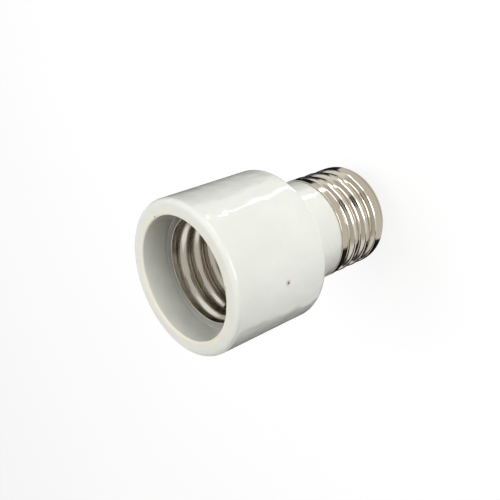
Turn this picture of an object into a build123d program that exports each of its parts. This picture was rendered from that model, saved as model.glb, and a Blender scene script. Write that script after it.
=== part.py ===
from build123d import *
from math import atan2, cos, pi, sin, sqrt
import os

os.makedirs("parts", exist_ok=True)

# A porcelain extender for a mogul lamp, in millimetres. The axis is +Z, with the mouth up.
# The origin is the middle of the end contact's flat face, on which the adapter stands.

# Mogul thread: a rolled knuckle form, four turns to the inch
PITCH = 6.35
CAP_CREST_RADIUS = 19.7
CAP_THREAD_DEPTH = 1.8
SOCKET_ROOT_RADIUS = 19.8
SOCKET_THREAD_DEPTH = 1.8
SHEET = 0.5
FLANK_SHARE = 0.06
THREAD_RUN_OUT = 3.0
CAP_THREAD_TURN = 0.285
SOCKET_THREAD_TURN = 0.045

# Porcelain, outside
MOUTH_WALL = 5.9
CUP_HEIGHT = 42.0
RIM_ROUND_SHARE = 0.34
MOUTH_ROUND_SHARE = 0.13
SHOULDER_WIDTH = 7.1
SHOULDER_ROUND_SHARE = 0.28
NECK_FILLET_SHARE = 0.7
NECK_LENGTH = 18.0

# Porcelain, inside
MOUTH_STEP = 1.8
SHELL_RECESS = 11.0
WELL_GAP = 0.5
PARTITION = 9.0
CHAMBER_RADIUS = 14.4
SPIGOT_GAP = 0.3
LIP_COVER = 1.8
LIP_GAP = 0.1
COLLAR_WALL = 1.2
COLLAR_HEIGHT = 1.4
BUSH_SEAT_DEPTH = 3.0

# Socket shell
SHELL_LENGTH = 27.0
SHELL_CORNER_DROP = 1.6
SHELL_CORNER_INSET = 1.2
SHELL_LIP_SKIRT = 0.8
GRIP_START = 6.3
GRIP_LENGTH = 15.0
GRIP_WIDTH = 11.0
SLIT = 1.0

# Cap
CAP_LENGTH = 26.5
CAP_SKIRT = 2.2
CAP_END_DROP = 6.4
CAP_END_INSET = 3.3
TIP_HEIGHT = 6.5
GLASS_GAP = 0.12
GLASS_DEPTH = 4.5
GLASS_FLAT_MARGIN = 0.9
TIP_RADIUS = 7.5
TIP_EDGE = 0.75
TIP_PLATE = 1.2
TIP_TUBE_WALL = 1.0
TIP_TUBE_LENGTH = 11.0
SOLDER_RADIUS = 2.2
SOLDER_DEPTH = 0.6

# Sprung centre contact
PLUNGER_TRAVEL = 2.5
PLUNGER_NECK_RADIUS = 2.7
PLUNGER_SHOULDER_RADIUS = 3.62
PLUNGER_SHOULDER = 1.8
PLUNGER_HEAD_RADIUS = 4.8
PLUNGER_HEAD = 1.3
PLUNGER_DOME = 0.6
RUNNING_GAP = 0.08
STOP_GAP = 0.05
BUSH_WALL = 0.7
BUSH_LIP = 0.8
BUSH_FLANGE_RADIUS = 5.8
BUSH_FLANGE = 1.2
BUSH_RISE = 1.3
BUSH_LENGTH = 10.9
BUSH_BOTTOM = 2.0
BUSH_HOLE_GAP = 0.2
FLANGE_GAP = 0.3
CONTACT_WASHER = 0.4
SPRING_WIRE = 0.6
SPRING_GAP = 0.3
SPRING_TURNS = 6.5
BUSH_NUT_FLATS = 11.0
BUSH_NUT = 2.6
BUSH_WASHER = 0.6

# Conductors
ROD_RADIUS = 1.25
ROD_GAP = 0.05
ROD_HEAD_RADIUS = 2.0
ROD_HEAD = 0.5
SLEEVE_WALL = 0.75
SLEEVE_END_GAP = 0.3
LEAD_THICKNESS = 0.5
LEAD_WIDTH = 3.0
LEAD_TAB_WIDTH = 4.2
LEAD_TAB_OVERHANG = 2.7
LEAD_OFFSET = 7.6
LEAD_FOOT_GAP = 3.5
LEAD_GLASS_GAP = 2.0
LEAD_SOLDER_RADIUS = 2.0
LEAD_SOLDER_FLAT = 0.5

# Screws that hold the socket shell
SCREW_CIRCLE = 11.0
SCREW_RADIUS = 1.5
SCREW_HOLE_GAP = 0.2
SCREW_HEAD_RADIUS = 2.75
SCREW_HEAD = 1.9
SCREW_HEAD_EDGE = 0.6
SCREW_SLOT = 0.8
SCREW_SLOT_DEPTH = 1.0
SCREW_STAND_OUT = 0.6
NUT_FLATS = 5.5
NUT_HEIGHT = 2.2
NUT_THREAD_GAP = 0.05
LOCK_WASHER = 0.6
LOCK_WASHER_RADIUS = 2.9
LOCK_WASHER_SPLIT = 0.6
FLOOR_HOLE_GAP = 0.3

# Fineness of the rolled surfaces
ROWS_PER_TURN = 15
POINTS_AROUND = 64
SURFACE_TOLERANCE = 0.01

# Heights, from the end contact's face upwards
CAP_END_Z = TIP_HEIGHT
LIP_Z = CAP_END_Z + CAP_LENGTH
SHOULDER_Z = LIP_Z + NECK_LENGTH
MOUTH_Z = SHOULDER_Z + CUP_HEIGHT
SHELL_LIP_Z = MOUTH_Z - SHELL_RECESS
FLOOR_Z = SHELL_LIP_Z - SHELL_LENGTH
FLOOR_TOP_Z = FLOOR_Z + SHEET
UNDER_Z = FLOOR_Z - PARTITION
BUSH_SEAT_Z = FLOOR_Z - BUSH_SEAT_DEPTH
FLANGE_Z = BUSH_SEAT_Z + CONTACT_WASHER
BUSH_TOP_Z = FLANGE_Z + BUSH_FLANGE + BUSH_RISE
BUSH_END_Z = FLANGE_Z - BUSH_LENGTH
BUSH_FLOOR_Z = BUSH_END_Z + BUSH_BOTTOM
PLUNGER_STOP_Z = BUSH_TOP_Z - BUSH_LIP - STOP_GAP
PLUNGER_HEAD_Z = BUSH_TOP_Z + PLUNGER_TRAVEL + STOP_GAP
GLASS_TOP_Z = CAP_END_Z + GLASS_DEPTH
LEAD_FOOT_Z = GLASS_TOP_Z + LEAD_GLASS_GAP
SPIGOT_END_Z = LEAD_FOOT_Z + LEAD_THICKNESS + LEAD_FOOT_GAP

# Radii that follow from the fits
BUSH_BORE = PLUNGER_SHOULDER_RADIUS + RUNNING_GAP
BUSH_RADIUS = BUSH_BORE + BUSH_WALL
BUSH_HOLE = BUSH_RADIUS + BUSH_HOLE_GAP
BUSH_SEAT_RADIUS = BUSH_FLANGE_RADIUS + FLANGE_GAP
COLLAR_RADIUS = BUSH_SEAT_RADIUS + COLLAR_WALL
SHELL_FLOOR_HOLE = COLLAR_RADIUS + FLOOR_HOLE_GAP
WELL_RADIUS = SOCKET_ROOT_RADIUS + SHEET + WELL_GAP
MOUTH_RADIUS = WELL_RADIUS + MOUTH_STEP
BODY_RADIUS = MOUTH_RADIUS + MOUTH_WALL
NECK_TOP_RADIUS = BODY_RADIUS - SHOULDER_WIDTH
NECK_LIP_RADIUS = CAP_CREST_RADIUS - SHEET - LIP_GAP
SPIGOT_RADIUS = CAP_CREST_RADIUS - CAP_THREAD_DEPTH - SHEET - SPIGOT_GAP
SCREW_HOLE = SCREW_RADIUS + SCREW_HOLE_GAP
ROD_HOLE = ROD_RADIUS + ROD_GAP
TIP_TUBE_RADIUS = ROD_HOLE + TIP_TUBE_WALL


def lathe(*outline, rounds=()):
    """A turned solid from its (radius, height) outline, with (corner, radius) pairs rounded."""
    face = make_face(Polyline(*outline, close=True))
    for corner, radius in rounds:
        face = fillet(face.vertices().sort_by_distance((*corner, 0))[0], radius)
    return revolve(Plane.XZ * face, Axis.Z)


def tube(outer, inner, bottom, top):
    """A plain ring or sleeve between two heights."""
    return lathe((inner, bottom), (outer, bottom), (outer, top), (inner, top))


def hex_nut(flats, height, bore, top):
    """A hexagon nut whose upper face is at the given height, with its corners chamfered."""
    corner = flats / sqrt(3)
    chamfer = corner - flats / 2
    blank = Pos(0, 0, top - height) * extrude(RegularPolygon(corner, 6), height)
    turned = lathe(
        (0, top - height),
        (flats / 2, top - height),
        (corner, top - height + chamfer / 2),
        (corner, top - chamfer / 2),
        (flats / 2, top),
        (0, top),
    )
    return (blank & turned) - Pos(0, 0, top - height / 2) * Cylinder(bore, 2 * height)


# The rolled thread

def wave(turns):
    """Knuckle thread form over one turn, from 1 on a crest to -1 in a root."""
    phase = 2 * pi * turns
    return (cos(phase) - FLANK_SHARE * cos(3 * phase)) / (1 - FLANK_SHARE)


def run_in(height, low, high):
    """0 at both ends of the thread and 1 where it has its full depth, with smooth run-outs."""
    share = min(1, max(0, min(height - low, high - height) / THREAD_RUN_OUT))
    return share**3 * (share * (6 * share - 15) + 10)


def curled_wall(height, outside, thickness, bottom, drop, inset):
    """Radius of a wall that curls inwards over its lowest part, at a depth under its outer face."""
    share = max(0, (bottom + drop - height) / drop)
    slope = 3 * inset * share**2 / drop
    return outside - inset * share**3 - thickness * sqrt(1 + slope**2)


def cap_radius(angle, height, thickness):
    """Radius of the cap's skin, thickness under its outer face."""
    wall = curled_wall(height, CAP_CREST_RADIUS, thickness, CAP_END_Z, CAP_END_DROP, CAP_END_INSET)
    turns = (height - LIP_Z) / PITCH - angle / (2 * pi) - CAP_THREAD_TURN
    full = run_in(height, CAP_END_Z + CAP_END_DROP, LIP_Z - CAP_SKIRT)
    return wall - full * CAP_THREAD_DEPTH * (1 - wave(turns)) / 2


def socket_radius(angle, height, thickness):
    """Radius of the socket shell's skin, thickness under its outer face."""
    outside = SOCKET_ROOT_RADIUS + SHEET
    wall = curled_wall(height, outside, thickness, FLOOR_Z, SHELL_CORNER_DROP, SHELL_CORNER_INSET)
    turns = (height - SHELL_LIP_Z) / PITCH - angle / (2 * pi) - SOCKET_THREAD_TURN
    full = run_in(height, FLOOR_Z + SHELL_CORNER_DROP, SHELL_LIP_Z - SHELL_LIP_SKIRT)
    return wall - full * SOCKET_THREAD_DEPTH * (1 + wave(turns)) / 2


def rolled_face(radius_at, thickness, bottom, top):
    """A smooth closed face through rows of points that follow a radius formula."""
    rows = round((top - bottom) / PITCH * ROWS_PER_TURN)
    heights = [bottom + (top - bottom) * i / rows for i in range(rows + 1)]
    angles = [2 * pi * i / POINTS_AROUND for i in range(POINTS_AROUND + 1)]
    points = []
    for height in heights:
        radii = [radius_at(angle, height, thickness) for angle in angles]
        points.append([(r * cos(a), r * sin(a), height) for r, a in zip(radii, angles)])
    return Face.make_surface_from_array_of_points(points, tol=SURFACE_TOLERANCE)


def end_wire(face, height):
    """The closed edge of a rolled face that lies flat at a height."""
    level = [e for e in face.edges() if abs(e.bounding_box().center().Z - height) < SHEET / 10]
    return Wire(level)


def rolled_cup(radius_at, bottom, inner_bottom, top):
    """A rolled sheet shell. It has a floor where the inner skin stops above the outer one."""
    outer = rolled_face(radius_at, 0, bottom, top)
    inner = rolled_face(radius_at, SHEET, inner_bottom, top)
    faces = [outer, inner, Face(end_wire(outer, top), [end_wire(inner, top)])]
    if inner_bottom > bottom:
        faces += [Face(end_wire(outer, bottom)), Face(end_wire(inner, inner_bottom))]
    else:
        faces.append(Face(end_wire(outer, bottom), [end_wire(inner, bottom)]))
    return Part(Solid(Shell(faces)).wrapped)


# Porcelain

def porcelain_body():
    """Cup, rim, shoulder, tapered neck and spigot in one casting, with its well and chamber."""
    step_z = LIP_Z - LIP_COVER
    shoulder = (NECK_TOP_RADIUS, SHOULDER_Z)
    collar_top = FLOOR_Z + COLLAR_HEIGHT
    body = lathe(
        (BODY_RADIUS, MOUTH_Z),
        (BODY_RADIUS, SHOULDER_Z),
        shoulder,
        (NECK_LIP_RADIUS, LIP_Z),
        (NECK_LIP_RADIUS, step_z),
        (SPIGOT_RADIUS, step_z),
        (SPIGOT_RADIUS, SPIGOT_END_Z),
        (CHAMBER_RADIUS, SPIGOT_END_Z),
        (CHAMBER_RADIUS, UNDER_Z),
        (BUSH_HOLE, UNDER_Z),
        (BUSH_HOLE, BUSH_SEAT_Z),
        (BUSH_SEAT_RADIUS, BUSH_SEAT_Z),
        (BUSH_SEAT_RADIUS, collar_top),
        (COLLAR_RADIUS, collar_top),
        (COLLAR_RADIUS, FLOOR_Z),
        (WELL_RADIUS, FLOOR_Z),
        (WELL_RADIUS, SHELL_LIP_Z - MOUTH_STEP),
        (MOUTH_RADIUS, SHELL_LIP_Z),
        (MOUTH_RADIUS, MOUTH_Z),
        rounds=(
            ((BODY_RADIUS, MOUTH_Z), RIM_ROUND_SHARE * MOUTH_WALL),
            ((MOUTH_RADIUS, MOUTH_Z), MOUTH_ROUND_SHARE * MOUTH_WALL),
            ((BODY_RADIUS, SHOULDER_Z), SHOULDER_ROUND_SHARE * SHOULDER_WIDTH),
            (shoulder, NECK_FILLET_SHARE * SHOULDER_WIDTH),
        ),
    )
    for place in screw_places():
        body -= place * Pos(0, 0, FLOOR_Z) * Cylinder(SCREW_HOLE, 3 * PARTITION)
    return body


# Socket side

def screw_places():
    """The two screw axes, on opposite sides of the centre contact."""
    return PolarLocations(SCREW_CIRCLE, 2).locations


def socket_shell():
    """Rolled screw shell with a flat floor, its screw holes and the lamp-grip tongue."""
    shell = rolled_cup(socket_radius, FLOOR_Z, FLOOR_TOP_Z, SHELL_LIP_Z)
    shell -= Pos(0, 0, FLOOR_Z) * Cylinder(SHELL_FLOOR_HOLE, 4 * SHEET)
    for place in screw_places():
        shell -= place * Pos(0, 0, FLOOR_Z) * Cylinder(SCREW_HOLE, 4 * SHEET)
    wall = Rot(0, 0, 90) * Pos(SOCKET_ROOT_RADIUS, 0, SHELL_LIP_Z - GRIP_START - GRIP_LENGTH / 2)
    reach = 4 * SOCKET_THREAD_DEPTH
    window = Box(reach, GRIP_WIDTH + SLIT, GRIP_LENGTH)
    tongue = Pos(0, 0, SLIT / 2) * Box(reach, GRIP_WIDTH - SLIT, GRIP_LENGTH - SLIT)
    return shell - wall * (window - tongue)


def shell_screw(place):
    """Slotted pan-head screw, down through the floor, the partition and the nut."""
    head_top = FLOOR_TOP_Z + SCREW_HEAD
    end_z = nut_top(LEAD_THICKNESS) - NUT_HEIGHT - SCREW_STAND_OUT
    screw = lathe(
        (0, end_z),
        (SCREW_RADIUS, end_z),
        (SCREW_RADIUS, FLOOR_TOP_Z),
        (SCREW_HEAD_RADIUS, FLOOR_TOP_Z),
        (SCREW_HEAD_RADIUS, head_top),
        (0, head_top),
        rounds=(((SCREW_HEAD_RADIUS, head_top), SCREW_HEAD_EDGE),),
    )
    slot = Pos(0, 0, head_top) * Box(3 * SCREW_HEAD_RADIUS, SCREW_SLOT, 2 * SCREW_SLOT_DEPTH)
    return place * (screw - slot)


def nut_top(under):
    """Height of a shell nut's upper face, below whatever lies between it and the porcelain."""
    return UNDER_Z - under - LOCK_WASHER


def lock_washer(place, under):
    """Split spring washer on top of a shell nut."""
    top = UNDER_Z - under
    washer = tube(LOCK_WASHER_RADIUS, SCREW_HOLE, top - LOCK_WASHER, top)
    split = Pos(0, LOCK_WASHER_RADIUS, top) * Box(LOCK_WASHER_SPLIT, 2 * SCREW_HOLE, 3 * LOCK_WASHER)
    return place * (washer - split)


def shell_nut(place, under):
    """Hexagon nut on a shell screw."""
    return place * hex_nut(NUT_FLATS, NUT_HEIGHT, SCREW_RADIUS + NUT_THREAD_GAP, nut_top(under))


# Sprung centre contact

def contact_washer():
    """Fibre washer between the bush's flange and the porcelain."""
    return tube(BUSH_FLANGE_RADIUS, BUSH_HOLE, BUSH_SEAT_Z, FLANGE_Z)


def contact_bush():
    """Turned guide tube with a flange, a closed bottom and a lip rolled in over the plunger."""
    flange_top = FLANGE_Z + BUSH_FLANGE
    neck_bore = PLUNGER_NECK_RADIUS + RUNNING_GAP
    return lathe(
        (ROD_HOLE, BUSH_END_Z),
        (BUSH_RADIUS, BUSH_END_Z),
        (BUSH_RADIUS, FLANGE_Z),
        (BUSH_FLANGE_RADIUS, FLANGE_Z),
        (BUSH_FLANGE_RADIUS, flange_top),
        (BUSH_RADIUS, flange_top),
        (BUSH_RADIUS, BUSH_TOP_Z),
        (neck_bore, BUSH_TOP_Z),
        (neck_bore, BUSH_TOP_Z - BUSH_LIP),
        (BUSH_BORE, BUSH_TOP_Z - BUSH_LIP),
        (BUSH_BORE, BUSH_FLOOR_Z),
        (ROD_HOLE, BUSH_FLOOR_Z),
        rounds=(((BUSH_RADIUS, BUSH_TOP_Z), BUSH_LIP / 2),),
    )


def contact_plunger():
    """Domed button on a neck, with the shoulder that stops under the bush's lip."""
    shoulder_z = PLUNGER_STOP_Z - PLUNGER_SHOULDER
    head_top = PLUNGER_HEAD_Z + PLUNGER_HEAD
    side = Polyline(
        (0, head_top + PLUNGER_DOME),
        (0, shoulder_z),
        (PLUNGER_SHOULDER_RADIUS, shoulder_z),
        (PLUNGER_SHOULDER_RADIUS, PLUNGER_STOP_Z),
        (PLUNGER_NECK_RADIUS, PLUNGER_STOP_Z),
        (PLUNGER_NECK_RADIUS, PLUNGER_HEAD_Z),
        (PLUNGER_HEAD_RADIUS, PLUNGER_HEAD_Z),
        (PLUNGER_HEAD_RADIUS, head_top),
    )
    dome_radius = (PLUNGER_HEAD_RADIUS**2 + PLUNGER_DOME**2) / (2 * PLUNGER_DOME)
    dome = RadiusArc((PLUNGER_HEAD_RADIUS, head_top), (0, head_top + PLUNGER_DOME), -dome_radius)
    return revolve(Plane.XZ * make_face([side, dome]), Axis.Z)


def contact_spring():
    """Coil spring between the bush's floor and the plunger's shoulder."""
    low = BUSH_FLOOR_Z + SPRING_WIRE / 2 + STOP_GAP
    high = PLUNGER_STOP_Z - PLUNGER_SHOULDER - SPRING_WIRE / 2 - STOP_GAP
    coil_radius = BUSH_BORE - SPRING_GAP - SPRING_WIRE / 2
    coil = Helix((high - low) / SPRING_TURNS, high - low, coil_radius, center=(0, 0, low))
    wire = Plane(origin=coil @ 0, z_dir=coil % 0) * Circle(SPRING_WIRE / 2)
    return sweep(wire, path=coil, is_frenet=True)


def bush_washer():
    """Plain washer between the porcelain and the bush's nut."""
    return tube(BUSH_NUT_FLATS / 2, BUSH_HOLE, UNDER_Z - BUSH_WASHER, UNDER_Z)


def bush_nut():
    """Thin hexagon nut that clamps the bush from below."""
    return hex_nut(BUSH_NUT_FLATS, BUSH_NUT, BUSH_RADIUS + NUT_THREAD_GAP, UNDER_Z - BUSH_WASHER)


# Conductors

def centre_rod():
    """Copper rod from the bush's floor, where its head is spread, down into the end contact."""
    return lathe(
        (0, SOLDER_DEPTH),
        (ROD_RADIUS, SOLDER_DEPTH),
        (ROD_RADIUS, BUSH_FLOOR_Z),
        (ROD_HEAD_RADIUS, BUSH_FLOOR_Z),
        (ROD_HEAD_RADIUS, BUSH_FLOOR_Z + ROD_HEAD),
        (0, BUSH_FLOOR_Z + ROD_HEAD),
    )


def rod_sleeve():
    """Insulating sleeve on the rod, from the end contact's tube up to the bush."""
    bottom = TIP_PLATE + TIP_TUBE_LENGTH + SLEEVE_END_GAP
    return tube(ROD_HOLE + SLEEVE_WALL, ROD_HOLE, bottom, BUSH_END_Z - SLEEVE_END_GAP)


def lead_box(x_low, x_high, y_low, y_high, z_low, z_high):
    """A flat length of the copper strip, given by its corners."""
    size = (x_high - x_low, y_high - y_low, z_high - z_low)
    middle = ((x_high + x_low) / 2, (y_high + y_low) / 2, (z_high + z_low) / 2)
    return Pos(*middle) * Box(*size)


def lead_foot_end():
    """How far out the strip's foot reaches, just short of the cap's thread roots."""
    outer_corner = SPIGOT_RADIUS - LEAD_THICKNESS / 2
    return sqrt(outer_corner**2 - LEAD_OFFSET**2)


def shell_lead():
    """Copper strip from the first screw, down the chamber and out to the inside of the cap."""
    inner_x = SCREW_CIRCLE - LEAD_TAB_WIDTH / 2
    leg_y = LEAD_OFFSET - LEAD_THICKNESS
    foot_top = LEAD_FOOT_Z + LEAD_THICKNESS
    tab_z = UNDER_Z - LEAD_THICKNESS
    tab = lead_box(inner_x, inner_x + LEAD_TAB_WIDTH, -LEAD_TAB_OVERHANG, LEAD_TAB_OVERHANG, tab_z, UNDER_Z)
    arm = lead_box(inner_x, inner_x + LEAD_WIDTH, LEAD_TAB_OVERHANG, LEAD_OFFSET, tab_z, UNDER_Z)
    leg = lead_box(inner_x, inner_x + LEAD_WIDTH, leg_y, LEAD_OFFSET, LEAD_FOOT_Z, UNDER_Z)
    foot = lead_box(inner_x, lead_foot_end(), LEAD_OFFSET - LEAD_WIDTH, LEAD_OFFSET, LEAD_FOOT_Z, foot_top)
    hole = Pos(SCREW_CIRCLE, 0, UNDER_Z) * Cylinder(SCREW_HOLE, 4 * LEAD_THICKNESS)
    return tab + arm + leg + foot - hole


def cap_inside(angle, spread, low, high):
    """Least clear radius inside the cap, over a spread of angles and heights."""
    angles = (angle - spread, angle, angle + spread)
    heights = [low + (high - low) * i / ROWS_PER_TURN for i in range(ROWS_PER_TURN + 1)]
    return min(cap_radius(a, height, SHEET + GLASS_GAP) for a in angles for height in heights)


def lead_solder():
    """Drop of solder that joins the strip's foot to the inside of the cap."""
    aside = LEAD_OFFSET - LEAD_WIDTH / 2
    level = LEAD_FOOT_Z + LEAD_THICKNESS / 2
    spread = LEAD_SOLDER_RADIUS / SPIGOT_RADIUS
    angle = atan2(aside, SPIGOT_RADIUS)
    reach = cap_inside(angle, spread, level - LEAD_SOLDER_RADIUS, level + LEAD_SOLDER_RADIUS)
    out = reach - LEAD_SOLDER_RADIUS + LEAD_SOLDER_FLAT
    middle = (sqrt(out**2 - aside**2), aside, level)
    drop = Pos(*middle) * Sphere(LEAD_SOLDER_RADIUS)
    return (drop & Pos(0, 0, level) * Cylinder(reach, 3 * LEAD_SOLDER_RADIUS)) - shell_lead()


# Cap

def cap_shell():
    """Rolled screw cap, a skirt at its lip and its lower end curled in round the glass."""
    return rolled_cup(cap_radius, CAP_END_Z, CAP_END_Z, LIP_Z)


def cap_insulator():
    """Black glass that fills the curled end of the cap and bulges down to the end contact."""
    inside = [
        (cap_radius(0, height, SHEET + GLASS_GAP), height)
        for height in (GLASS_TOP_Z, (GLASS_TOP_Z + CAP_END_Z) / 2, CAP_END_Z)
    ]
    edge = inside[-1]
    flat = TIP_RADIUS + GLASS_FLAT_MARGIN
    bulge = ((edge[0] + flat) / 2 + TIP_PLATE, (CAP_END_Z + TIP_PLATE) / 2 - TIP_PLATE)
    outline = [
        Spline(*inside),
        ThreePointArc(edge, bulge, (flat, TIP_PLATE)),
        Polyline(
            (flat, TIP_PLATE), (TIP_TUBE_RADIUS, TIP_PLATE), (TIP_TUBE_RADIUS, GLASS_TOP_Z), inside[0]
        ),
    ]
    return revolve(Plane.XZ * make_face(outline), Axis.Z)


def tip_contact():
    """End contact: a flat-faced plate with a rounded edge and the tube that takes the rod."""
    return lathe(
        (SOLDER_RADIUS, 0),
        (TIP_RADIUS, 0),
        (TIP_RADIUS, TIP_PLATE),
        (TIP_TUBE_RADIUS, TIP_PLATE),
        (TIP_TUBE_RADIUS, TIP_PLATE + TIP_TUBE_LENGTH),
        (ROD_HOLE, TIP_PLATE + TIP_TUBE_LENGTH),
        (ROD_HOLE, SOLDER_DEPTH),
        (SOLDER_RADIUS, SOLDER_DEPTH),
        rounds=(((TIP_RADIUS, 0), TIP_EDGE),),
    )


def tip_solder():
    """Solder that fills the hollow in the end contact's face, level with it."""
    return Pos(0, 0, SOLDER_DEPTH / 2) * Cylinder(SOLDER_RADIUS, SOLDER_DEPTH)


def build():
    """Every piece by its node's name."""
    first, second = screw_places()
    return {
        "porcelain_body": porcelain_body(),
        "socket_shell": socket_shell(),
        "shell_screw_1": shell_screw(first),
        "shell_screw_2": shell_screw(second),
        "lock_washer_1": lock_washer(first, LEAD_THICKNESS),
        "lock_washer_2": lock_washer(second, 0),
        "shell_nut_1": shell_nut(first, LEAD_THICKNESS),
        "shell_nut_2": shell_nut(second, 0),
        "contact_washer": contact_washer(),
        "contact_bush": contact_bush(),
        "contact_plunger": contact_plunger(),
        "contact_spring": contact_spring(),
        "bush_washer": bush_washer(),
        "bush_nut": bush_nut(),
        "centre_rod": centre_rod(),
        "rod_sleeve": rod_sleeve(),
        "shell_lead": shell_lead(),
        "lead_solder": lead_solder(),
        "cap_shell": cap_shell(),
        "cap_insulator": cap_insulator(),
        "tip_contact": tip_contact(),
        "tip_solder": tip_solder(),
    }


for name, piece in build().items():
    export_step(piece, f"parts/{name}.step")
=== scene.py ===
"""Looks for a porcelain extender for a mogul lamp: glaze, plated screw shells, contacts and a plain studio.

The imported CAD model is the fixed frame, in metres. Sizes below are in millimetres, as in the model's source,
and MM turns them into metres where a mesh or a node is made.
"""

from __future__ import annotations

import logging
import math
from collections.abc import Callable, Iterable, Sequence
from dataclasses import dataclass, field
from enum import Enum

import bmesh
import bpy
from mathutils import Matrix, Vector

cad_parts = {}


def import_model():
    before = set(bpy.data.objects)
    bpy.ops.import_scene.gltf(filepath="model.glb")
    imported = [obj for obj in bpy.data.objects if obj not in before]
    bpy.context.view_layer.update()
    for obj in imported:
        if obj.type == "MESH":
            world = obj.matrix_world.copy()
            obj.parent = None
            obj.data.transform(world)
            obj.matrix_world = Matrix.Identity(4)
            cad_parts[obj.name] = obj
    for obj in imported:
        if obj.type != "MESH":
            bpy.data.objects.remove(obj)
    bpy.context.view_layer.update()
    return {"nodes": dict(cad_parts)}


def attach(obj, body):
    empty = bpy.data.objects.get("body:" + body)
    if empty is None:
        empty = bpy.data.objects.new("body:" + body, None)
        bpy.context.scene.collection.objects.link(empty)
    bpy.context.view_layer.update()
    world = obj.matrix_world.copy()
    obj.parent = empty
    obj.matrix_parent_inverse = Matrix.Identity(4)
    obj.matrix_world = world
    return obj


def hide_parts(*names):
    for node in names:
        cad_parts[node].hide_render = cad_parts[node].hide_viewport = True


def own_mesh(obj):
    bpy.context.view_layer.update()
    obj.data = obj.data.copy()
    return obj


log = logging.getLogger("adapter")

MM = 0.001
WELD = 0.001 * MM
SHARP_ANGLE = math.radians(38)
IMAGE_SIDE = 500
SENSOR = 36.0
BODY = "adapter"
PLUNGER = "plunger"

Point = tuple[float, float]
Span = tuple[float, float]
Colour = tuple[float, float, float]

WHITE: Colour = (1.0, 1.0, 1.0)


# Node trees

class Value:
    """A number socket that takes part in Python arithmetic by adding Math nodes to its tree."""

    def __init__(self, graph: Graph, socket: bpy.types.NodeSocket) -> None:
        """Wraps a socket of a graph."""
        self.graph = graph
        self.socket = socket

    def math(self, operation: str, *others: Value | float) -> Value:
        """Adds a Math node.

        Args:
            operation: The Math node's operation.
            others: The second and third operands, if it has them.

        Returns:
            The node's result.
        """
        return self.graph.math(operation, self, *others)

    def __add__(self, other: Value | float) -> Value:
        """self + other."""
        return self.math("ADD", other)

    def __radd__(self, other: float) -> Value:
        """other + self."""
        return self.graph.math("ADD", other, self)

    def __sub__(self, other: Value | float) -> Value:
        """self - other."""
        return self.math("SUBTRACT", other)

    def __rsub__(self, other: float) -> Value:
        """other - self."""
        return self.graph.math("SUBTRACT", other, self)

    def __mul__(self, other: Value | float) -> Value:
        """self * other."""
        return self.math("MULTIPLY", other)

    def __rmul__(self, other: float) -> Value:
        """other * self."""
        return self.graph.math("MULTIPLY", other, self)

    def __truediv__(self, other: Value | float) -> Value:
        """self / other."""
        return self.math("DIVIDE", other)

    def __rtruediv__(self, other: float) -> Value:
        """other / self."""
        return self.graph.math("DIVIDE", other, self)

    def cos(self) -> Value:
        """Cosine of an angle in radians."""
        return self.math("COSINE")

    def sin(self) -> Value:
        """Sine of an angle in radians."""
        return self.math("SINE")

    def sqrt(self) -> Value:
        """Square root."""
        return self.math("SQRT")

    def at_least(self, other: Value | float) -> Value:
        """The larger of the two."""
        return self.math("MAXIMUM", other)

    def at_most(self, other: Value | float) -> Value:
        """The smaller of the two."""
        return self.math("MINIMUM", other)

    def rise(self, low: float, high: float) -> Value:
        """A smooth step. It rises downwards where low is above high.

        Args:
            low: Where it is still 0.
            high: Where it has come to 1.

        Returns:
            The step.
        """
        inputs = {"Value": self, "From Min": low, "From Max": high}
        node = self.graph.node("ShaderNodeMapRange", {"interpolation_type": "SMOOTHSTEP"}, inputs)
        return self.graph.value(node, "Result")


def length(*parts: Value) -> Value:
    """Length of a vector with these parts."""
    return sum((part * part for part in parts[1:]), start=parts[0] * parts[0]).sqrt()


@dataclass(frozen=True)
class Grain:
    """A noise pattern: its cells per metre, its octaves of detail and how strong they are."""

    scale: float
    detail: float = 2.0
    roughness: float = 0.5


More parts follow.
